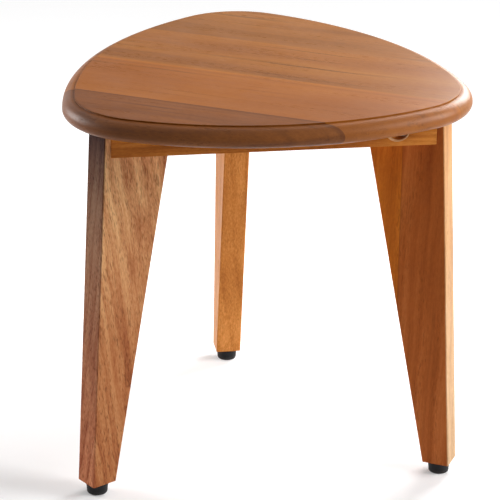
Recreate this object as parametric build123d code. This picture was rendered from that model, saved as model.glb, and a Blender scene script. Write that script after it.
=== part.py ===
from build123d import *
import math
import os

# Three-legged shower foot stool in oiled hardwood. Millimetres, +Z up, floor at z = 0.
# Every part is drawn about the stool's own vertical axis and moved at the end, so that
# the origin lies on the floor under the middle of the seat's length and width.

# Overall
stool_height = 300.0
rear_leg_angle = 90.0
leg_names = ["rear", "left", "right"]
leg_spread = 360.0 / len(leg_names)
leg_angles = {name: rear_leg_angle + index * leg_spread for index, name in enumerate(leg_names)}
corner_to_side = leg_spread / 2
apron_angles = {
    "front": leg_angles["left"] + corner_to_side,
    "right": leg_angles["right"] + corner_to_side,
    "left": leg_angles["rear"] + corner_to_side,
}

# Seat board
seat_thickness = 15.0
seat_corner_centre = 95.0
seat_corner_radius = 66.3
seat_side_radius = 253.8
seat_top_step = 1.0
seat_ledge = 0.5
seat_top_round = 8.5
seat_under_steps = 3
seat_top_steps = 3
stave_width = 78.0
first_glue_line = 92.0
stave_normal = 240.0
stave_names = ["front", "front_middle", "rear_middle", "rear"]

# Legs: radial boards that taper towards the floor
leg_thickness = 20.0
leg_top_outer = 146.0
leg_top_inner = 85.0
leg_foot_outer = 160.5
leg_foot_inner = 140.0
leg_edge_round = 1.0

# Aprons: rails between the legs, mitred onto their wide faces
apron_apothem = 80.0
apron_thickness = 20.0
apron_height = 20.0
apron_tip_flat = 1.5
apron_edge_round = 0.8

# Leg bolts: one through each leg, head in the apron on one side, insert in the other
bolt_height = 11.0
bolt_radius = 3.0
bolt_head_radius = 6.0
bolt_head_height = 2.4
bolt_hex_across_flats = 4.0
bolt_hex_depth = 1.8
bolt_hole_clearance = 0.3
bolt_web = 5.0
bolt_engagement = 8.0
counterbore_clearance = 0.5
bolt_insert_radius = 4.5
bolt_insert_length = 10.0
insert_thread_gap = 0.05
insert_hole_extra = 0.5

# Screws that hold the seat, driven up through the aprons
screw_spacing = 90.0
screw_radius = 2.0
screw_head_radius = 4.0
screw_head_height = 2.0
screw_in_seat = 9.0
screw_gap = 0.05

# Levelling feet
foot_height = 9.5
foot_top_gap = 0.3
foot_radius = 8.4
foot_stud_radius = 3.0
foot_stud_in_pad = 5.0
foot_stud_in_leg = 20.0
foot_stud_gap = 0.05
foot_insert_radius = 4.5
foot_insert_length = 12.0
foot_bore_extra = 3.0

# Heights and places that follow from the sizes above
seat_underside = stool_height - seat_thickness
rim_depth = seat_thickness - seat_top_step
seat_under_round = rim_depth - seat_top_round
apron_bottom = seat_underside - apron_height
bolt_z = apron_bottom + bolt_height
leg_length = seat_underside - foot_height


def polar(radius, degrees):
    """Return the point at this radius and angle about the stool's axis."""
    angle = math.radians(degrees)
    return radius * math.cos(angle), radius * math.sin(angle)


def leg_outer_at(z):
    """Return how far the leg's outer edge stands from the axis at height z."""
    rise = (z - foot_height) / leg_length
    return leg_foot_outer + rise * (leg_top_outer - leg_foot_outer)


def leg_inner_at(z):
    """Return how far the leg's inner edge stands from the axis at height z."""
    rise = (z - foot_height) / leg_length
    return leg_foot_inner + rise * (leg_top_inner - leg_foot_inner)


bolt_reach = (leg_inner_at(bolt_z) + leg_outer_at(bolt_z)) / 2
foot_reach = (leg_foot_inner + leg_foot_outer) / 2
bolt_seat = leg_thickness / 2 + bolt_web
bolt_length = bolt_web + leg_thickness + bolt_engagement
counterbore_radius = bolt_head_radius + counterbore_clearance

# The corner and side arcs of the seat touch where their centres are this far apart
arc_centre_distance = seat_side_radius - seat_corner_radius
half_span = seat_corner_centre * math.sin(math.radians(corner_to_side))
side_centre_offset = (
    math.sqrt(arc_centre_distance**2 - half_span**2)
    - seat_corner_centre * math.cos(math.radians(corner_to_side))
)
seat_corner_reach = seat_corner_centre + seat_corner_radius
seat_side_reach = seat_side_radius - side_centre_offset
rear_reach = max(seat_corner_reach, leg_foot_outer)
axis_offset = (rear_reach - seat_side_reach) / 2


def seat_outline(inset, z):
    """Return the rounded triangle of the seat, drawn in by inset, as a face at height z."""
    edges = []
    for angle in leg_angles.values():
        corner = Vector(*polar(seat_corner_centre, angle))
        ends = []
        for turn in (-corner_to_side, corner_to_side):
            side_centre = Vector(*polar(-side_centre_offset, angle + turn))
            outward = (corner - side_centre).normalized()
            ends.append(corner + outward * (seat_corner_radius - inset))
        middle = Vector(*polar(seat_corner_reach - inset, angle))
        edges.append(ThreePointArc(ends[0], middle, ends[1]))
    corners = list(edges)
    for here, following, angle in zip(corners, corners[1:] + corners[:1], leg_angles.values()):
        middle = Vector(*polar(seat_side_reach - inset, angle + corner_to_side))
        edges.append(ThreePointArc(here @ 1, middle, following @ 0))
    return Pos(0, 0, z) * make_face(edges)


def quarter_round(radius, steps):
    """Return the steps of a quarter round, from flat to upright, as (inset, rise) pairs."""
    turns = [step / steps * math.pi / 2 for step in range(steps + 1)]
    return [(radius * (1 - math.sin(turn)), radius * (1 - math.cos(turn))) for turn in turns]


def rim_lines():
    """Return the inset and height of each line round the seat's rim, from its underside up."""
    under = quarter_round(seat_under_round, seat_under_steps)
    over = quarter_round(seat_top_round, seat_top_steps)
    return under + [(inset, rim_depth - drop) for inset, drop in reversed(over[:-1])]


def seat_blank():
    """Return the seat in one piece: a rounded rim under a stepped flat top."""
    lines = [seat_outline(inset, seat_underside + height) for inset, height in rim_lines()]
    rim = loft(lines, ruled=True)
    raised = extrude(seat_outline(seat_top_round + seat_ledge, seat_underside + rim_depth), seat_top_step)
    return rim + raised


def turned_upright(solid, angle):
    """Turn a solid drawn along the local radial X axis to the leg at this angle."""
    return Rot(0, 0, angle) * solid


def across_leg(solid, start):
    """Lay a solid drawn along +Z across the leg, at bolt height, from this distance."""
    return Pos(bolt_reach, start, bolt_z) * Rot(-90, 0, 0) * solid


def bolt_space():
    """Return the space that one leg's bolt and insert take, head side first."""
    align = (Align.CENTER, Align.CENTER, Align.MIN)
    through = bolt_seat + leg_thickness / 2
    clearance = Cylinder(bolt_radius + bolt_hole_clearance, through, align=align)
    pocket = Cylinder(counterbore_radius, apron_apothem, align=align)
    insert = Cylinder(bolt_insert_radius, bolt_insert_length + insert_hole_extra, align=align)
    return (
        across_leg(clearance, -bolt_seat)
        + across_leg(pocket, -bolt_seat - apron_apothem)
        + across_leg(insert, leg_thickness / 2)
    )


def foot_space():
    """Return the hole in the end of a leg for the foot's insert and stud."""
    depth = foot_stud_in_leg + foot_bore_extra
    hole = Cylinder(foot_insert_radius, depth, align=(Align.CENTER, Align.CENTER, Align.MIN))
    return Pos(foot_reach, 0, foot_height) * hole


def screw_places():
    """Return the two places of the seat screws on the front apron's centre line."""
    y = -(apron_apothem - apron_thickness / 2)
    return [(-screw_spacing / 2, y), (screw_spacing / 2, y)]


def screw_space():
    """Return the holes for the two screws of the front apron, up into the seat."""
    depth = apron_height + screw_in_seat
    hole = Cylinder(screw_radius + screw_gap, depth, align=(Align.CENTER, Align.CENTER, Align.MIN))
    return [Pos(x, y, apron_bottom) * hole for x, y in screw_places()]


def leg():
    """Return the right-angled tapering leg board, along the local radial X axis."""
    outline = Polyline(
        (leg_foot_inner, 0, foot_height),
        (leg_foot_outer, 0, foot_height),
        (leg_top_outer, 0, seat_underside),
        (leg_top_inner, 0, seat_underside),
        close=True,
    )
    board = extrude(make_face(outline), leg_thickness / 2, both=True, dir=(0, 1, 0))
    level = board.edges().filter_by(Axis.X) + board.edges().filter_by(Axis.Y)
    sides = [edge for edge in board.edges() if edge not in level]
    board = fillet(sides, leg_edge_round)
    return board - bolt_space() - foot_space()


def apron_plan():
    """Return the front apron's plan: a trapezium whose ends lie on the legs' faces."""
    half_angle = math.radians(corner_to_side / 2)
    inner = apron_apothem - apron_thickness
    gap = leg_thickness / 2

    def end_of(distance):
        return (distance * math.cos(half_angle) - gap) / math.sin(half_angle)

    tip = end_of(apron_apothem)
    bevel_x = tip - apron_tip_flat * math.cos(half_angle)
    bevel_y = apron_apothem - apron_tip_flat * math.sin(half_angle)
    half = [
        (tip - apron_tip_flat, -apron_apothem),
        (bevel_x, -bevel_y),
        (end_of(inner), -inner),
    ]
    other_half = [(-x, y) for x, y in reversed(half)]
    return make_face(Polyline(*half, *other_half, close=True))


def apron():
    """Return the front apron, with its edges eased and its holes cut."""
    rail = Pos(0, 0, apron_bottom) * extrude(apron_plan(), apron_height)
    long_edges = rail.faces().sort_by(Axis.Z)[0].edges().filter_by(Axis.X)
    rail = fillet(long_edges, apron_edge_round)
    for angle in (leg_angles["left"], leg_angles["right"]):
        rail = rail - turned_upright(bolt_space(), angle)
    for hole in screw_space():
        rail = rail - hole
    return rail


def turned(*lines):
    """Return the solid turned about +Z from a closed outline of radius and height."""
    return revolve(Plane.XZ * make_face([*lines]), Axis.Z)


def hexagon_pocket(depth):
    """Return a hexagon key's pocket of this depth, upwards from z = 0."""
    return extrude(RegularPolygon(bolt_hex_across_flats / 2, 6, major_radius=False), depth)


def leg_bolt():
    """Return a flat-head bolt with a hexagon socket; z = 0 lies under its head."""
    outline = Polyline(
        (0, -bolt_head_height),
        (0, bolt_length),
        (bolt_radius, bolt_length),
        (bolt_radius, 0),
        (bolt_head_radius, 0),
        (bolt_head_radius, -bolt_head_height),
        close=True,
    )
    return turned(outline) - Pos(0, 0, -bolt_head_height) * hexagon_pocket(bolt_hex_depth)


def bolt_insert():
    """Return the threaded insert that a leg bolt screws into, from z = 0 up."""
    align = (Align.CENTER, Align.CENTER, Align.MIN)
    sleeve = Cylinder(bolt_insert_radius, bolt_insert_length, align=align)
    return sleeve - Cylinder(bolt_radius + insert_thread_gap, bolt_insert_length, align=align)


def seat_screw():
    """Return a pan-head wood screw pointing up; z = 0 is the apron's lower edge."""
    outline = Polyline(
        (0, -screw_head_height),
        (screw_head_radius, -screw_head_height),
        (screw_head_radius, 0),
        (screw_radius, 0),
        (screw_radius, apron_height + screw_in_seat),
        (0, apron_height + screw_in_seat),
        close=True,
    )
    return turned(outline)


def foot_insert():
    """Return the threaded insert in the end of a leg; z = 0 is the leg's end."""
    align = (Align.CENTER, Align.CENTER, Align.MIN)
    sleeve = Cylinder(foot_insert_radius, foot_insert_length, align=align)
    return sleeve - Cylinder(foot_stud_radius + foot_stud_gap, foot_insert_length, align=align)


def foot_stud():
    """Return the stud of a levelling foot, screwed fully in; z = 0 is the floor."""
    bottom = foot_height - foot_top_gap - foot_stud_in_pad
    top = foot_height + foot_stud_in_leg
    align = (Align.CENTER, Align.CENTER, Align.MIN)
    return Pos(0, 0, bottom) * Cylinder(foot_stud_radius, top - bottom, align=align)


def foot_pad():
    """Return the rubber pad of a levelling foot, with a blind hole for its stud."""
    top = foot_height - foot_top_gap
    hole_bottom = top - foot_stud_in_pad
    hole_radius = foot_stud_radius + foot_stud_gap
    outline = Polyline(
        (0, 0),
        (foot_radius, 0),
        (foot_radius, top),
        (hole_radius, top),
        (hole_radius, hole_bottom),
        (0, hole_bottom),
        close=True,
    )
    return turned(outline)


def seat_staves():
    """Return the staves that the seat is glued up from, cut from the drilled blank."""
    blank = seat_blank()
    for angle in apron_angles.values():
        for hole in screw_space():
            blank = blank - turned_upright(hole, angle - apron_angles["front"])
    reach = 2 * seat_corner_reach
    edges = [reach] + [first_glue_line - index * stave_width for index in range(len(stave_names) - 1)]
    edges.append(-reach)
    staves = {}
    for name, outer, inner in zip(stave_names, edges[:-1], edges[1:]):
        slab = Pos((outer + inner) / 2, 0, stool_height / 2) * Box(outer - inner, 2 * reach, 2 * stool_height)
        staves["seat_stave_" + name] = blank & turned_upright(slab, stave_normal)
    return staves


def at_each_leg(solid):
    """Return one copy of the solid at each leg, by the leg's name."""
    return {side: turned_upright(solid, angle) for side, angle in leg_angles.items()}


def leg_nodes():
    """Return the legs, their bolts and their feet, by node name."""
    singles = {
        "leg": leg(),
        "foot_stud": Pos(foot_reach, 0, 0) * foot_stud(),
        "foot_pad": Pos(foot_reach, 0, 0) * foot_pad(),
    }
    sets = {
        "leg_bolts": across_leg(leg_bolt(), -bolt_seat),
        "leg_bolt_inserts": across_leg(bolt_insert(), leg_thickness / 2),
        "foot_inserts": Pos(foot_reach, 0, foot_height) * foot_insert(),
    }
    found = {}
    for name, solid in singles.items():
        for side, copy in at_each_leg(solid).items():
            found[name + "_" + side] = copy
    for name, solid in sets.items():
        found[name] = Compound(list(at_each_leg(solid).values()))
    return found


def apron_nodes():
    """Return the aprons, and the screws that pass up through them, by node name."""
    rail = apron()
    screw = seat_screw()
    found = {}
    screws = []
    for side, angle in apron_angles.items():
        turn = angle - apron_angles["front"]
        found["apron_" + side] = turned_upright(rail, turn)
        screws += [turned_upright(Pos(x, y, apron_bottom) * screw, turn) for x, y in screw_places()]
    found["seat_screws"] = Compound(screws)
    return found


nodes = seat_staves() | leg_nodes() | apron_nodes()
os.makedirs("parts", exist_ok=True)
for name, solid in nodes.items():
    export_step(Pos(0, -axis_offset, 0) * solid, "parts/" + name + ".step")
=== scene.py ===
import math

import bmesh
import bpy
from mathutils import Matrix, Vector


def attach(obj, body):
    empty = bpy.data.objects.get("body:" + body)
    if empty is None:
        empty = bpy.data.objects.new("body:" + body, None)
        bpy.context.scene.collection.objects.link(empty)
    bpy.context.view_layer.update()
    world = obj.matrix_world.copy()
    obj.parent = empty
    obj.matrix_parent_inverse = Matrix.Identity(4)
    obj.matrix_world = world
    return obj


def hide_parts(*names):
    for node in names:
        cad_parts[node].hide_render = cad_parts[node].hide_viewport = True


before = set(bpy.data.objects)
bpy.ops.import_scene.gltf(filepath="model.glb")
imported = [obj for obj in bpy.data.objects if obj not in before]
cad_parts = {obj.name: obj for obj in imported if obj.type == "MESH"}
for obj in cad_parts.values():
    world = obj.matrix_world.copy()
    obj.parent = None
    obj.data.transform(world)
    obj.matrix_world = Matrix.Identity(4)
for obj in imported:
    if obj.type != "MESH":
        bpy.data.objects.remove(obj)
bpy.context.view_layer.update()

scene = bpy.context.scene
scene.view_settings.view_transform = "Standard"

# Lengths in millimetres, as in the part's source; millimetre() turns them into the frame.
AXIS_OFFSET = 14.243
LEG_ANGLES = {"rear": 90.0, "left": 210.0, "right": 330.0}
APRON_ANGLES = {"front": 270.0, "right": 30.0, "left": 150.0}

# Seat
SEAT_TOP = 300.0
SEAT_UNDERSIDE = 285.0
CORNER_CENTRE = 95.0
CORNER_RADIUS = 66.3
SIDE_RADIUS = 253.8
TOP_STEP = 1.0
TOP_ARRIS = 0.5
LEDGE = 0.5
TOP_ROUND = 8.5
UNDER_ROUND = 5.5
ROUND_STEPS = 16
ARRIS_STEPS = 6
STAVE_NORMAL = 240.0
GLUE_LINES = [92.0, 14.0, -64.0]
STAVE_NAMES = ["front", "front_middle", "rear_middle", "rear"]

# Legs
LEG_BOTTOM = 9.5
LEG_FOOT_OUTER = 160.5
LEG_TOP_OUTER = 146.0
LEG_FOOT_INNER = 140.0
LEG_TOP_INNER = 85.0
LEG_THICKNESS = 20.0
INNER_BOARD_REACH = 116.0

# Rails and what is drilled into them
APRON_APOTHEM = 80.0
APRON_THICKNESS = 20.0
APRON_BOTTOM = 265.0
APRON_TIP_FLAT = 1.5
APRON_EASE = 0.45
BOLT_Z = 276.0
BOLT_SEAT = 15.0
COUNTERBORE_RADIUS = 6.5
MOUTH_ROUND = 1.2
BOLT_HOLE_RADIUS = 3.3
INSERT_RADIUS = 4.5
INSERT_DEPTH = 10.5
SCREW_HALF_SPACING = 45.0
SCREW_HOLE_RADIUS = 2.05

# Feet
FOOT_REACH = 150.25
STUD_RADIUS = 3.0
STUD_BOTTOM = 4.2
STUD_TOP = 29.5
STUD_TIP_CHAMFER = 0.8
THREAD_PITCH = 1.0
THREAD_DEPTH = 0.5
PAD_PROFILE = [
    (0, 0.6), (4.6, 0.6), (5.2, 0.1), (5.6, 0), (6.6, 0), (7.1, 0.15), (7.5, 0.6), (7.7, 1.2),
    (8.05, 5.6), (8.2, 6.4), (8.4, 6.9), (8.4, 8.2), (8.3, 8.75), (8.05, 9.1), (7.6, 9.2),
    (3.4, 9.2), (3.15, 9.0), (3.05, 8.8), (3.05, 4.2), (0, 4.2),
]

# Wood: gloss of the broad faces and of the seat's rubbed rim
WOOD_SPECULAR = 0.08
RIM_SPECULAR = 0.3
NO_TINT = (1, 1, 1)
SEED_SHIFT = (0.37, 0.053, 0.071)
PITH = (-0.06, -0.09)

# Camera: angles in degrees, place in millimetres, focal length in picture widths
CAMERA_PITCH = 22.091
CAMERA_HEADING = 8.989
CAMERA_ROLL = 0.622
CAMERA_AZIMUTH = -9.152
CAMERA_BACK = 1718.576
CAMERA_HEIGHT = 854.439
FOCAL_WIDTHS = 2448.4 / 500
SENSOR_WIDTH = 36.0


def millimetre(x, y, z):
    """Return a point of the stool's own axes in the frame's metres."""
    return Vector((x / 1000, (y - AXIS_OFFSET) / 1000, z / 1000))


def polar(radius, degrees):
    """Return x and y at this radius and angle."""
    angle = math.radians(degrees)
    return radius * math.cos(angle), radius * math.sin(angle)


def rgb(red, green, blue):
    """Return the linear colour of an 8-bit screen colour."""
    def linear(value):
        value /= 255
        return value / 12.92 if value <= 0.04045 else ((value + 0.055) / 1.055) ** 2.4
    return linear(red), linear(green), linear(blue)


class Nodes:
    """A small helper that adds and links the nodes of one tree."""

    def __init__(self, tree):
        self.tree = tree
        tree.nodes.clear()

    def add(self, kind, **values):
        """Add a node; each value sets a socket of that name, or else a property."""
        node = self.tree.nodes.new(kind)
        for key, value in values.items():
            if key in node.inputs.keys():
                node.inputs[key].default_value = value
            else:
                setattr(node, key, value)
        return node

    def link(self, output, socket):
        self.tree.links.new(output, socket)

    def object_place(self):
        return self.add("ShaderNodeTexCoord").outputs["Object"]

    def separate(self, vector):
        node = self.add("ShaderNodeSeparateXYZ")
        self.link(vector, node.inputs[0])
        return node.outputs

    def fill(self, node, *values):
        """Give a node's first sockets plain values or links, and return its first output."""
        for index, value in enumerate(values):
            if isinstance(value, (int, float, tuple)):
                node.inputs[index].default_value = value
            else:
                self.link(value, node.inputs[index])
        return node.outputs[0]

    def math(self, operation, *values):
        return self.fill(self.add("ShaderNodeMath", operation=operation), *values)

    def vector_math(self, operation, *values):
        return self.fill(self.add("ShaderNodeVectorMath", operation=operation), *values)

    def noise(self, vector, detail=3.0, roughness=0.5, output="Fac"):
        node = self.add("ShaderNodeTexNoise", Scale=1.0, Detail=detail, Roughness=roughness)
        self.link(vector, node.inputs["Vector"])
        return node.outputs[output]

    def ramp(self, factor, stops):
        node = self.add("ShaderNodeValToRGB")
        elements = node.color_ramp.elements
        while len(elements) < len(stops):
            elements.new(0.5)
        for element, (position, colour) in zip(elements, stops):
            element.position = position
            element.color = (*colour, 1.0)
        self.link(factor, node.inputs["Fac"])
        return node.outputs["Color"]

    def span(self, factor, low, high, to_low=0.0, to_high=1.0):
        """Map a range onto another one, and hold the ends."""
        return self.fill(self.add("ShaderNodeMapRange"), factor, low, high, to_low, to_high)

    def mix(self, factor, first, second, blend="MIX"):
        node = self.add("ShaderNodeMix", data_type="RGBA", blend_type=blend)
        for index, value in ((0, factor), (6, first), (7, second)):
            if isinstance(value, (int, float)):
                node.inputs[index].default_value = value
            elif isinstance(value, tuple):
                node.inputs[index].default_value = (*value, 1.0)
            else:
                self.link(value, node.inputs[index])
        return node.outputs[2]

    def tinted(self, amount, colour, factor):
        """Multiply a colour by a factor, as far as the amount says."""
        return self.mix(amount, colour, self.mix(1.0, colour, factor, "MULTIPLY"))

    def scaled(self, vector, scale, rotation=(0, 0, 0), location=(0, 0, 0)):
        node = self.add("ShaderNodeMapping", Scale=scale, Rotation=rotation, Location=location)
        self.link(vector, node.inputs["Vector"])
        return node.outputs[0]

    def shown(self):
        """Return 1 on the rays that see the background: camera, glossy and transmission."""
        path = self.add("ShaderNodeLightPath")
        seen = self.math("MAXIMUM", path.outputs["Is Camera Ray"], path.outputs["Is Glossy Ray"])
        return self.math("MAXIMUM", seen, path.outputs["Is Transmission Ray"])


class Surface(Nodes):
    """The nodes of a new material with one principled shader."""

    def __init__(self, name):
        self.material = bpy.data.materials.new(name)
        self.material.use_nodes = True
        super().__init__(self.material.node_tree)
        output = self.add("ShaderNodeOutputMaterial")
        self.shader = self.add("ShaderNodeBsdfPrincipled")
        self.link(self.shader.outputs["BSDF"], output.inputs["Surface"])

    def feed(self, socket, value):
        self.link(value, self.shader.inputs[socket])

    def relief(self, height, strength, distance):
        bump = self.add("ShaderNodeBump", Strength=strength, Distance=distance)
        self.link(height, bump.inputs["Height"])
        self.feed("Normal", bump.outputs["Normal"])


def wood_axes(n, grain, seed, sway):
    """Return the stool's axes, the same with x along the grain's heading, and the fibres'."""
    place = n.vector_math("ADD", n.object_place(), (0, AXIS_OFFSET / 1000, 0))
    turn, tilt = grain
    level = n.scaled(place, (1, 1, 1), rotation=(0, 0, math.radians(-turn)))
    along = n.scaled(level, (1, 1, 1), rotation=(0, math.radians(tilt), 0),
                     location=tuple(seed * step for step in SEED_SHIFT))
    wander = n.noise(n.scaled(along, (9, 26, 26)), 2.0, output="Color")
    centred = n.vector_math("SUBTRACT", wander, (0.5, 0.5, 0.5))
    return place, level, n.vector_math("MULTIPLY_ADD", centred, (0.0, sway, sway), along)


def ring_shade(n, fibres, seed, ring_width):
    """Return the shade of the growth rings about a pith that lies beside the board."""
    split = n.separate(fibres)
    across = n.math("SUBTRACT", split[1], seed * SEED_SHIFT[1] + PITH[0])
    up = n.math("SUBTRACT", split[2], seed * SEED_SHIFT[2] + PITH[1])
    squares = n.math("ADD", n.math("MULTIPLY", across, across), n.math("MULTIPLY", up, up))
    ring = n.math("FRACT", n.math("MULTIPLY", n.math("SQRT", squares), 1000 / ring_width))
    shades = ((0.0, 0.25), (0.55, 0.5), (0.86, 1.0), (1.0, 0.25))
    return n.ramp(ring, [(position, (shade,) * 3) for position, shade in shades])


def fleck_mask(n, fibres, density):
    """Return the short dark pores, which come in patches along the grain."""
    short = n.noise(n.scaled(fibres, (170, 1150, 1150)), 1.0)
    gate = n.noise(n.scaled(fibres, (9, 120, 120)), 1.0)
    gate = n.span(gate, 0.66 - 0.4 * density, 0.8 - 0.4 * density)
    return n.math("MULTIPLY", n.span(short, 0.54, 0.66), gate)


def inner_board_colour(n, colour, reach, factor, joint_colour):
    """Recolour a leg inside the radius where another board is glued on."""
    edge = n.math("SUBTRACT", reach, INNER_BOARD_REACH / 1000)
    inside = n.span(edge, -0.0003, 0.0003, 1.0, 0.0)
    colour = n.tinted(inside, colour, factor)
    joint = n.span(n.math("ABSOLUTE", edge), 0.0001, 0.0006, 0.35, 0.0)
    return n.mix(joint, colour, joint_colour)


def outer_edge_colour(n, colour, reach, height, foot_factor, top_factor):
    """Recolour the narrow outer face of a leg, from its foot to its top; on the left leg this is
    painted shade towards the top, under the seat, and painted bounce light at the foot.
    """
    rise = n.span(height, LEG_BOTTOM / 1000, SEAT_UNDERSIDE / 1000)
    lean = n.math("MULTIPLY", rise, (LEG_FOOT_OUTER - LEG_TOP_OUTER) / 1000)
    outer = n.math("SUBTRACT", LEG_FOOT_OUTER / 1000, lean)
    amount = n.span(n.math("SUBTRACT", reach, outer), -0.0012, -0.0002)
    return n.tinted(amount, colour, n.mix(rise, foot_factor, top_factor))


def hardwood(name, grain, seed, dark, middle, light, stripe=80.0, contrast=1.0, figure=0.25,
             ring_width=11.0, sway=0.008, veins=0.0, flecks=0.4, fleck_density=0.5, mottle=0.2,
             painted_height_light=NO_TINT, tint_bottom=0.0, inner_board=None, outer_edge=None, seams=(),
             rim_specular=None):
    """Return oiled hardwood whose grain runs along a direction, as a solid texture.

    grain is the turn about Z and the tilt from level of the fibres, in degrees. stripe is the
    number of colour bands in a metre across the grain. ring_width is in millimetres. sway is how
    far the fibres wander, in metres. contrast, figure, veins, flecks and mottle are the strengths
    of the bands, the rings, the long dark lines, the short pores and the fine speckle. The foot
    factor is painted light: a factor on the colour from tint_bottom down, which fades out towards
    the seat; on the right and rear legs it lightens the foot for the floor's bounce light, and on
    the left leg it darkens the foot, so that the top stands painted lighter against the seat's
    shade. inner_board is the factor on the colour of a leg's second board. outer_edge gives the
    factors on a leg's narrow outer face, at its foot and at its top; on the left leg they paint
    shade under the seat and bounce light at the foot. seams are (distance, half width, factor) of
    soft lines along the grain. rim_specular is the gloss below the seat's flat top.
    """
    n = Surface(name)
    place, level, fibres = wood_axes(n, grain, seed, sway)
    late = ring_shade(n, fibres, seed, ring_width)
    bands = n.noise(n.scaled(fibres, (4.0, stripe, stripe)), 3.0, 0.55)
    fine = n.noise(n.scaled(fibres, (14, stripe * 6, stripe * 6)), 3.0, 0.6)
    cloud = n.noise(n.scaled(fibres, (7, 16, 16)), 2.0)
    speckle = n.noise(n.scaled(fibres, (260, 900, 900)), 2.0, 0.6)
    tone = 0.5
    for shade, weight in ((bands, 1.5 * contrast), (fine, 0.6 * contrast), (cloud, 1.1 * contrast),
                          (speckle, 2.0 * mottle), (late, -figure)):
        tone = n.math("ADD", tone, n.math("MULTIPLY", n.math("SUBTRACT", shade, 0.5), weight))
    colour = n.ramp(tone, [(0.1, dark), (0.5, middle), (0.9, light)])
    deep = tuple(value * 0.4 for value in dark)
    if veins:
        vein = n.noise(n.scaled(fibres, (3.5, 190, 190)), 2.0)
        vein = n.math("MULTIPLY", n.span(vein, 0.57, 0.68), n.span(cloud, 0.42, 0.58))
        colour = n.mix(n.math("MULTIPLY", vein, veins), colour, deep)
    pores = fleck_mask(n, fibres, fleck_density)
    colour = n.mix(n.math("MULTIPLY", pores, flecks), colour, deep)

    reach, sideways, height = n.separate(level)
    for distance, half_width, factor in seams:
        off = n.math("ABSOLUTE", n.math("SUBTRACT", sideways, distance / 1000))
        near = n.span(off, 0.0, half_width / 1000, 1.0, 0.0)
        colour = n.tinted(near, colour, factor)
    # Painted light along the leg: a colour factor at the foot that fades out towards the seat.
    if painted_height_light != NO_TINT:
        low = n.span(height, tint_bottom / 1000, SEAT_UNDERSIDE / 1000, 1.0, 0.0)
        colour = n.tinted(low, colour, painted_height_light)
    if inner_board:
        colour = inner_board_colour(n, colour, reach, inner_board, deep)
    # On the left leg this paints shade under the seat at the top of the narrow face, and bounce light
    # at its foot.
    if outer_edge:
        colour = outer_edge_colour(n, colour, reach, height, *outer_edge)
    n.feed("Base Color", colour)

    smudge = n.noise(n.scaled(place, (30, 30, 30)), 3.0, 0.6)
    rough = n.math("ADD", n.span(smudge, 0.3, 0.7, 0.34, 0.44), n.math("MULTIPLY", fine, 0.06))
    n.feed("Roughness", n.math("ADD", rough, n.math("MULTIPLY", pores, 0.2)))
    n.shader.inputs["IOR"].default_value = 1.46
    n.shader.inputs["Specular IOR Level"].default_value = WOOD_SPECULAR
    if rim_specular:
        ledge = (SEAT_TOP - TOP_STEP) / 1000
        gloss = n.span(height, ledge - 0.0006, ledge - 0.0001, rim_specular, WOOD_SPECULAR)
        n.feed("Specular IOR Level", gloss)
    pits = n.math("SUBTRACT", n.math("MULTIPLY", fine, 0.5), n.math("MULTIPLY", pores, 0.9))
    n.relief(pits, 0.3, 0.0002)
    return n.material


def metal(name, colour, roughness):
    """Return a plated or turned metal with fine wear."""
    n = Surface(name)
    place = n.object_place()
    stain = n.noise(n.scaled(place, (260, 260, 260)), 4.0, 0.6)
    marks = n.noise(n.scaled(place, (900, 900, 3200)), 3.0, 0.65)
    dull = tuple(value * 0.62 for value in colour)
    n.feed("Base Color", n.mix(n.span(stain, 0.35, 0.7), colour, dull))
    n.shader.inputs["Metallic"].default_value = 1.0
    stained = n.span(stain, 0.3, 0.7, roughness - 0.05, roughness + 0.1)
    n.feed("Roughness", n.math("ADD", stained, n.math("MULTIPLY", marks, 0.12)))
    n.relief(marks, 0.25, 0.0001)
    return n.material


def rubber(name):
    """Return matt black rubber with a faint moulded grain and dust near the floor."""
    n = Surface(name)
    place = n.object_place()
    grain = n.noise(n.scaled(place, (1400, 1400, 1400)), 3.0, 0.6)
    patch = n.noise(n.scaled(place, (160, 160, 160)), 3.0, 0.6)
    dust = n.math("MULTIPLY", n.span(n.separate(place)[2], 0.0, 0.003, 0.35, 0.0), patch)
    base = n.ramp(patch, [(0.3, (0.006, 0.006, 0.007)), (0.7, (0.014, 0.013, 0.014))])
    n.feed("Base Color", n.mix(dust, base, (0.16, 0.15, 0.14)))
    n.feed("Roughness", n.span(patch, 0.3, 0.7, 0.5, 0.66))
    n.shader.inputs["IOR"].default_value = 1.5
    n.shader.inputs["Specular IOR Level"].default_value = 0.2
    n.relief(grain, 0.3, 0.0001)
    return n.material


def add_object(name, mesh_data):
    """Put a finished bmesh into the scene as a smooth-shaded object."""
    mesh = bpy.data.meshes.new(name)
    mesh_data.to_mesh(mesh)
    mesh_data.free()
    mesh.polygons.foreach_set("use_smooth", [True] * len(mesh.polygons))
    piece = bpy.data.objects.new(name, mesh)
    scene.collection.objects.link(piece)
    return piece


def join_rings(mesh, rings):
    """Fill the bands between rings of vertices; a ring of one vertex is a pole."""
    for lower, upper in zip(rings, rings[1:]):
        count = max(len(lower), len(upper))
        for step in range(count):
            after = (step + 1) % count
            if len(lower) == 1:
                corners = (lower[0], upper[after], upper[step])
            elif len(upper) == 1:
                corners = (lower[step], lower[after], upper[0])
            else:
                corners = (lower[step], lower[after], upper[after], upper[step])
            mesh.faces.new(corners)


def close_rings(mesh, rings):
    """Fill the bands between rings and cap both ends."""
    join_rings(mesh, rings)
    mesh.faces.new(list(reversed(rings[0])))
    mesh.faces.new(rings[-1])


def face_outward(mesh):
    """Turn every face outward."""
    bmesh.ops.recalc_face_normals(mesh, faces=mesh.faces[:])


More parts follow.
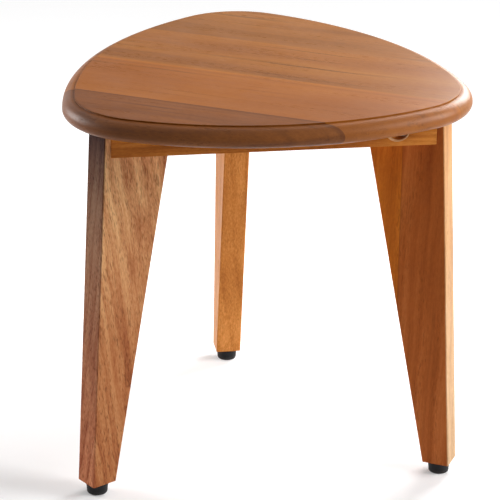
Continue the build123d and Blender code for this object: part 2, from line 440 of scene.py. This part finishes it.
def outline_points(inset, per_corner=48, per_side=64):
    """Return the points of the seat's rounded triangle, drawn in by inset."""
    centre_gap = SIDE_RADIUS - CORNER_RADIUS
    half_span = CORNER_CENTRE * math.sin(math.radians(60))
    side_offset = math.sqrt(centre_gap ** 2 - half_span ** 2) - CORNER_CENTRE / 2
    half_side = math.degrees(math.atan2(half_span, side_offset + CORNER_CENTRE / 2))
    half_corner = 60 - half_side
    points = []
    for leg_angle in LEG_ANGLES.values():
        cx, cy = polar(CORNER_CENTRE, leg_angle)
        for step in range(per_corner):
            angle = leg_angle - half_corner + 2 * half_corner * step / per_corner
            nx, ny = polar(1, angle)
            points.append((cx + nx * (CORNER_RADIUS - inset), cy + ny * (CORNER_RADIUS - inset)))
        sx, sy = polar(-side_offset, leg_angle + 60)
        for step in range(per_side):
            angle = leg_angle + 60 - half_side + 2 * half_side * step / per_side
            nx, ny = polar(1, angle)
            points.append((sx + nx * (SIDE_RADIUS - inset), sy + ny * (SIDE_RADIUS - inset)))
    return points


def rim_profile():
    """Return (inset, height) pairs from the underside's edge up to the flat top's edge."""
    pairs = []
    for step in range(ROUND_STEPS + 1):
        turn = step / ROUND_STEPS * math.pi / 2
        pairs.append((UNDER_ROUND * (1 - math.sin(turn)), UNDER_ROUND * (1 - math.cos(turn))))
    rim_top = SEAT_TOP - SEAT_UNDERSIDE - TOP_STEP
    for step in range(ROUND_STEPS - 1, -1, -1):
        turn = step / ROUND_STEPS * math.pi / 2
        pairs.append((TOP_ROUND * (1 - math.sin(turn)), rim_top - TOP_ROUND * (1 - math.cos(turn))))
    last = TOP_ROUND + LEDGE
    pairs += [(last - 0.15, rim_top), (last - 0.02, rim_top + 0.12), (last, rim_top + 0.3)]
    for step in range(1, ARRIS_STEPS + 1):
        turn = step / ARRIS_STEPS * math.pi / 2
        drawn_in = last + TOP_ARRIS * (1 - math.cos(turn))
        pairs.append((drawn_in, rim_top + TOP_ARRIS + TOP_ARRIS * math.sin(turn)))
    return pairs


def seat_mesh():
    """Return the whole seat as one closed bmesh, with sharp edges round its flat faces."""
    mesh = bmesh.new()
    rings = []
    for inset, height in rim_profile():
        points = outline_points(inset)
        rings.append([mesh.verts.new(millimetre(x, y, SEAT_UNDERSIDE + height)) for x, y in points])
    close_rings(mesh, rings)
    for ring in (rings[0], rings[-1]):
        for edge in {edge for vertex in ring for edge in vertex.link_edges}:
            edge.smooth = not all(vertex in ring for vertex in edge.verts)
    return mesh


def stave(name, outer, inner):
    """Return one stave: the slice of the seat between two glue lines."""
    mesh = seat_mesh()
    normal = Vector((*polar(1, STAVE_NORMAL), 0))
    origin = millimetre(0, 0, 0)
    for distance, side in ((outer, 1), (inner, -1)):
        if distance is None:
            continue
        cut = origin + normal * (distance / 1000)
        geometry = mesh.verts[:] + mesh.edges[:] + mesh.faces[:]
        result = bmesh.ops.bisect_plane(mesh, geom=geometry, plane_co=cut, plane_no=normal * side,
                                        clear_outer=True, dist=1e-7)
        edges = [part for part in result["geom_cut"] if isinstance(part, bmesh.types.BMEdge)]
        bmesh.ops.contextual_create(mesh, geom=edges)
        for edge in edges:
            edge.smooth = False
    face_outward(mesh)
    piece = add_object(name, mesh)
    for polygon in piece.data.polygons:
        if abs(polygon.normal.z) > 0.99 or len(polygon.vertices) > 4:
            polygon.use_smooth = False
    return piece


def bar(radius, start, end, matrix, segments=72):
    """Return a round bar from start to end along Z, as a bmesh turned by the matrix."""
    mesh = bmesh.new()
    rings = []
    for height in (start, end):
        ring = []
        for step in range(segments):
            x, y = polar(radius, 360 * step / segments)
            ring.append(mesh.verts.new(matrix @ Vector((x, y, height))))
        rings.append(ring)
    close_rings(mesh, rings)
    face_outward(mesh)
    return mesh


def across_leg(angle):
    """Return the matrix that lays a bar across the leg at this angle, at bolt height."""
    rise = (BOLT_Z - LEG_BOTTOM) / (SEAT_UNDERSIDE - LEG_BOTTOM)
    inner = LEG_FOOT_INNER + rise * (LEG_TOP_INNER - LEG_FOOT_INNER)
    outer = LEG_FOOT_OUTER + rise * (LEG_TOP_OUTER - LEG_FOOT_OUTER)
    middle = Matrix.Translation(((inner + outer) / 2, 0, BOLT_Z))
    lying = Matrix.Rotation(math.radians(-90), 4, "X")
    return Matrix.Rotation(math.radians(angle), 4, "Z") @ middle @ lying


def apron_cutters():
    """Return the bars that are drilled out of the front rail, in the stool's millimetres."""
    head_side = across_leg(LEG_ANGLES["right"])
    insert_side = across_leg(LEG_ANGLES["left"])
    half = LEG_THICKNESS / 2
    bars = [
        bar(COUNTERBORE_RADIUS, -BOLT_SEAT - APRON_APOTHEM, -BOLT_SEAT, head_side),
        bar(BOLT_HOLE_RADIUS, -BOLT_SEAT - 1, half, head_side),
        bar(INSERT_RADIUS, half - 1, half + INSERT_DEPTH, insert_side),
    ]
    for x in (-SCREW_HALF_SPACING, SCREW_HALF_SPACING):
        upright = Matrix.Translation((x, APRON_THICKNESS / 2 - APRON_APOTHEM, 0))
        bars.append(bar(SCREW_HOLE_RADIUS, APRON_BOTTOM - 1, SEAT_UNDERSIDE + 1, upright))
    return bars


def apron_board():
    """Return the front rail's undrilled board as a bmesh in the stool's millimetres."""
    half_angle = math.radians(30)
    inner = APRON_APOTHEM - APRON_THICKNESS

    def end_of(distance):
        return (distance * math.cos(half_angle) - LEG_THICKNESS / 2) / math.sin(half_angle)

    tip = end_of(APRON_APOTHEM)
    half = [
        (tip - APRON_TIP_FLAT, -APRON_APOTHEM),
        (tip - APRON_TIP_FLAT * math.cos(half_angle),
         APRON_TIP_FLAT * math.sin(half_angle) - APRON_APOTHEM),
        (end_of(inner), -inner),
    ]
    plan = half + [(-x, y) for x, y in reversed(half)]
    mesh = bmesh.new()
    rings = [[mesh.verts.new((x, y, z)) for x, y in plan] for z in (APRON_BOTTOM, SEAT_UNDERSIDE)]
    close_rings(mesh, rings)
    face_outward(mesh)
    return mesh


def applied(piece):
    """Apply a piece's modifiers to its mesh."""
    depsgraph = bpy.context.evaluated_depsgraph_get()
    piece.data = bpy.data.meshes.new_from_object(piece.evaluated_get(depsgraph))
    piece.modifiers.clear()
    return piece


def ease_mouth(piece, width):
    """Round the mouth of the counterbore, which lies in the rail's outer face, and give the round the
    second material, the painted highlight.
    """
    mesh = bmesh.new()
    mesh.from_mesh(piece.data)
    mouth = []
    for edge in mesh.edges:
        level = all(abs(vertex.co.y + APRON_APOTHEM) < 0.01 for vertex in edge.verts)
        inside = all(APRON_BOTTOM + 1 < vertex.co.z < SEAT_UNDERSIDE - 1 for vertex in edge.verts)
        if level and inside and edge.calc_face_angle(0) > 0.3:
            mouth.append(edge)
    eased = bmesh.ops.bevel(mesh, geom=mouth, offset=width, segments=4, profile=0.5, affect="EDGES")
    for face in eased["faces"]:
        face.material_index = 1
    mesh.to_mesh(piece.data)
    mesh.free()


def front_apron(name, wood, highlight_wood):
    """Return the drilled front rail with eased edges, in the stool's millimetres."""
    board = add_object(name, apron_board())
    board.data.materials.append(wood)
    board.data.materials.append(highlight_wood)
    cutters = [add_object("cutter", cutter) for cutter in apron_cutters()]
    for cutter in cutters:
        modifier = board.modifiers.new("drill", "BOOLEAN")
        modifier.operation = "DIFFERENCE"
        modifier.solver = "EXACT"
        modifier.object = cutter
    applied(board)
    for cutter in cutters:
        bpy.data.objects.remove(cutter)
    ease_mouth(board, MOUTH_ROUND)
    bevel = board.modifiers.new("ease", "BEVEL")
    bevel.width = APRON_EASE
    bevel.segments = 3
    bevel.limit_method = "ANGLE"
    bevel.angle_limit = math.radians(50)
    bevel.harden_normals = True
    return applied(board)


def turned(name, profile, segments=96):
    """Return a closed solid turned about Z from (radius, height) pairs in millimetres."""
    mesh = bmesh.new()
    rings = []
    for radius, height in profile:
        if radius == 0:
            rings.append([mesh.verts.new((0, 0, height / 1000))])
            continue
        ring = []
        for step in range(segments):
            x, y = polar(radius / 1000, 360 * step / segments)
            ring.append(mesh.verts.new((x, y, height / 1000)))
        rings.append(ring)
    join_rings(mesh, rings)
    face_outward(mesh)
    return add_object(name, mesh)


def threaded_stud(name, segments=40, steps_per_turn=8):
    """Return a stud with a helical thread, upright about Z."""
    mesh = bmesh.new()
    rings = []
    count = round((STUD_TOP - STUD_BOTTOM) / THREAD_PITCH * steps_per_turn)
    for level in range(count + 1):
        z = STUD_BOTTOM + (STUD_TOP - STUD_BOTTOM) * level / count
        tip = min(z - STUD_BOTTOM, STUD_TOP - z)
        ring = []
        for step in range(segments):
            phase = (z / THREAD_PITCH - step / segments) % 1
            groove = min(1.0, max(0.0, 2 * abs(phase - 0.5) * 1.25 - 0.1))
            radius = min(STUD_RADIUS - THREAD_DEPTH * groove, STUD_RADIUS - STUD_TIP_CHAMFER + tip)
            x, y = polar(radius / 1000, 360 * step / segments)
            ring.append(mesh.verts.new((x, y, z / 1000)))
        rings.append(ring)
    close_rings(mesh, rings)
    return add_object(name, mesh)


def stood_at(piece, angle):
    """Bake the place of the foot at this angle into the piece's mesh."""
    piece.data.transform(Matrix.Translation(millimetre(*polar(FOOT_REACH, angle), 0)))
    return piece


def build_seat():
    """Dress the four staves in boards of slightly different tones."""
    woods = {
        "front": dict(dark=rgb(92, 48, 14), middle=rgb(122, 68, 22), light=rgb(146, 86, 34),
                      seed=3.1, veins=0.55, figure=0.3, seams=[(-93, 2.5, (0.72, 0.68, 0.62))]),
        "front_middle": dict(dark=rgb(128, 70, 20), middle=rgb(149, 85, 26), light=rgb(166, 101, 36),
                             seed=7.7, veins=0.45, figure=0.12,
                             seams=[(-15, 3.0, (1.18, 1.24, 1.15)), (-20, 2.0, (0.84, 0.82, 0.76))]),
        "rear_middle": dict(dark=rgb(116, 66, 22), middle=rgb(142, 85, 31), light=rgb(162, 104, 42),
                            seed=12.4, veins=0.6, figure=0.12,
                            seams=[(-12, 4.0, (1.16, 1.22, 1.12))]),
        "rear": dict(dark=rgb(110, 65, 24), middle=rgb(136, 84, 35), light=rgb(156, 102, 48),
                     seed=18.9, veins=0.65, figure=0.12),
    }
    cuts = [None] + GLUE_LINES + [None]
    for stave_name, outer, inner in zip(STAVE_NAMES, cuts[:-1], cuts[1:]):
        piece = stave("seat_board_" + stave_name, outer, inner)
        piece.data.materials.append(hardwood(
            "seat_wood_" + stave_name, grain=(STAVE_NORMAL + 90, 0), stripe=42, contrast=0.5,
            flecks=0.3, fleck_density=0.35, sway=0.006, rim_specular=RIM_SPECULAR,
            **woods[stave_name]))
        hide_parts("seat_stave_" + stave_name)
        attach(piece, "stool")


def give_material(node_name, material):
    """Put one material on a carried-over CAD node."""
    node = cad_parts[node_name]
    node.data.materials.clear()
    node.data.materials.append(material)


def dress_legs():
    """Give each leg its own board's wood, with light and shade painted along its height."""
    # The foot factors are painted light: the floor's bounce at the right and rear legs' feet, and on
    # the left leg a top painted lighter against the seat's shade.
    woods = {
        "left": dict(dark=rgb(175, 109, 69), middle=rgb(219, 160, 108), light=rgb(249, 202, 144),
                     seed=24.2, grain=(210, 82), stripe=150, contrast=0.8, figure=0.45,
                     ring_width=7, sway=0.012, flecks=0.5, fleck_density=0.9, mottle=0.4,
                     painted_height_light=(0.5, 0.36, 0.3), tint_bottom=120.0,
                     # Painted on the narrow face: shade under the seat at the top, bounce light from
                     # the floor at the foot.
                     outer_edge=((1.48, 1.4, 1.7), (0.03, 0.0, 0.0))),
        "right": dict(dark=rgb(146, 70, 22), middle=rgb(180, 94, 36), light=rgb(206, 118, 54),
                      seed=29.6, grain=(330, 88), stripe=110, contrast=0.6, flecks=0.3, veins=0.25,
                      painted_height_light=(1.0, 1.08, 1.5), inner_board=(1.28, 1.35, 0.7),
                      outer_edge=((1.12, 2.6, 6.0), (1.25, 2.5, 6.0))),
        "rear": dict(dark=rgb(150, 86, 34), middle=rgb(178, 112, 50), light=rgb(200, 134, 68),
                     seed=33.3, grain=(90, 87), stripe=95, contrast=0.5, flecks=0.2, mottle=0.5,
                     painted_height_light=(1.3, 1.35, 1.5)),
    }
    for side, wood in woods.items():
        give_material("leg_" + side, hardwood("leg_wood_" + side, **wood))


def build_aprons():
    """Build the three rails, each turned from the front one, with pale counterbore mouths that are a
    painted highlight, and side rails in a darker copy of the wood that is painted shade.
    """
    # The side rails take a darker copy of the rail wood: painted shade.
    shadowed = dict(dark=rgb(110, 54, 16), middle=rgb(160, 90, 34), light=rgb(194, 124, 56))
    woods = {
        "front": dict(dark=rgb(142, 74, 24), middle=rgb(192, 114, 46), light=rgb(218, 144, 66),
                      seed=41.8),
        "right": dict(shadowed, seed=46.1),
        "left": dict(shadowed, seed=52.5),
    }
    # The pale wood of the counterbore mouths is a painted highlight.
    painted_mouth_highlight = hardwood("painted_mouth_highlight", grain=(0, 0), dark=rgb(196, 146, 98), middle=rgb(224, 180, 132),
                         light=rgb(238, 202, 160), seed=60.4, flecks=0.2)
    for side, wood in woods.items():
        angle = APRON_ANGLES[side]
        apron_wood = hardwood("apron_wood_" + side, grain=(angle + 90, 0), stripe=90, **wood)
        piece = front_apron("rail_" + side, apron_wood, painted_mouth_highlight)
        turn = Matrix.Rotation(math.radians(angle - APRON_ANGLES["front"]), 4, "Z")
        shrink = Matrix.Translation((0, -AXIS_OFFSET / 1000, 0)) @ Matrix.Scale(0.001, 4)
        piece.data.transform(shrink @ turn)
        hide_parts("apron_" + side)
        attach(piece, "stool")


def build_hardware():
    """Give the hidden hardware its metals, and build the studs and pads of the feet."""
    steel = metal("zinc_steel", (0.60, 0.56, 0.48), 0.34)
    brass = metal("turned_brass", (0.72, 0.53, 0.26), 0.3)
    for node_name, material in (("leg_bolts", steel), ("seat_screws", steel),
                                ("leg_bolt_inserts", brass), ("foot_inserts", brass)):
        give_material(node_name, material)
    pad_rubber = rubber("foot_rubber")
    for side, angle in LEG_ANGLES.items():
        pad = stood_at(turned("rubber_foot_" + side, PAD_PROFILE), angle)
        pad.data.materials.append(pad_rubber)
        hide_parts("foot_pad_" + side)
        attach(pad, "foot_pad_" + side)
        stud = stood_at(threaded_stud("threaded_stud_" + side), angle)
        stud.data.materials.append(steel)
        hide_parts("foot_stud_" + side)
        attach(stud, "foot_stud_" + side)


def build_floor():
    """Lay a pale floor that grows whiter away from the viewer and to the right, with painted shade to
    the front and left, and the stool's shadow on it.
    """
    mesh = bmesh.new()
    bmesh.ops.create_grid(mesh, x_segments=8, y_segments=8, size=6.0)
    floor = add_object("floor", mesh)
    floor.location.z = -0.0002
    n = Surface("pale_floor")
    n.shader.inputs["Roughness"].default_value = 0.8
    n.shader.inputs["Base Color"].default_value = (0.76, 0.76, 0.765, 1)
    n.shader.inputs["Emission Color"].default_value = (1, 1, 1, 1)
    spot = n.separate(n.object_place())
    # Painted shade: the glow is weaker to the front and left, stronger to the back and right.
    back = n.math("ADD", n.math("MULTIPLY", spot[0], 0.5), spot[1])
    n.feed("Emission Strength", n.math("MULTIPLY", n.shown(), n.span(back, -0.12, 0.36, 0.1, 0.46)))
    floor.data.materials.append(n.material)


def build_world():
    """Surround the stool with soft light from the right and behind, seen as plain white."""
    world = bpy.data.worlds.new("studio")
    scene.world = world
    world.use_nodes = True
    n = Nodes(world.node_tree)
    facing = n.add("ShaderNodeVectorMath", operation="DOT_PRODUCT")
    n.fill(facing, n.add("ShaderNodeTexCoord").outputs["Generated"], (0.6, 0.75, 0.25))
    light = n.add("ShaderNodeBackground", Color=(1.0, 0.99, 0.98, 1))
    n.link(n.span(facing.outputs["Value"], -0.4, 0.9, 0.12, 0.6), light.inputs["Strength"])
    white = n.add("ShaderNodeBackground", Color=(1, 1, 1, 1), Strength=1.0)
    choice = n.add("ShaderNodeMixShader")
    n.fill(choice, n.shown(), light.outputs[0], white.outputs[0])
    n.link(choice.outputs[0], n.add("ShaderNodeOutputWorld").inputs[0])


def softbox(name, spot, target, size, watts):
    """Add a square lamp at a spot in metres that looks at a target."""
    lamp = bpy.data.lights.new(name, "AREA")
    lamp.shape = "SQUARE"
    lamp.size = size
    lamp.energy = watts
    holder = bpy.data.objects.new(name, lamp)
    holder.visible_camera = False
    scene.collection.objects.link(holder)
    holder.location = spot
    direction = Vector(target) - holder.location
    holder.rotation_euler = direction.to_track_quat("-Z", "Y").to_euler()


def build_camera():
    """Set the camera where the photo was taken."""
    data = bpy.data.cameras.new("camera")
    data.sensor_width = SENSOR_WIDTH
    data.lens = FOCAL_WIDTHS * SENSOR_WIDTH
    data.clip_end = 20
    camera = bpy.data.objects.new("camera", data)
    scene.collection.objects.link(camera)
    turn = Matrix.Rotation(math.radians(CAMERA_AZIMUTH), 4, "Z")
    place = turn @ Vector((0, -CAMERA_BACK, CAMERA_HEIGHT))
    camera.matrix_world = (
        Matrix.Translation(millimetre(*place))
        @ Matrix.Rotation(-math.radians(CAMERA_HEADING), 4, "Z")
        @ Matrix.Rotation(math.pi / 2 - math.radians(CAMERA_PITCH), 4, "X")
        @ Matrix.Rotation(math.radians(CAMERA_ROLL), 4, "Z")
    )
    scene.camera = camera


build_seat()
dress_legs()
build_aprons()
build_hardware()
build_floor()
build_world()
softbox("key", (1.85, -0.62, 1.12), (0, 0, 0.15), size=1.0, watts=46)
softbox("right_back", (0.42, 0.36, 0.54), (0.12, -0.03, 0.3), size=0.35, watts=5.4)
softbox("left_back", (-1.0, 0.48, 0.5), (-0.1, 0, 0.28), size=0.5, watts=9)
build_camera()

bpy.context.view_layer.update()
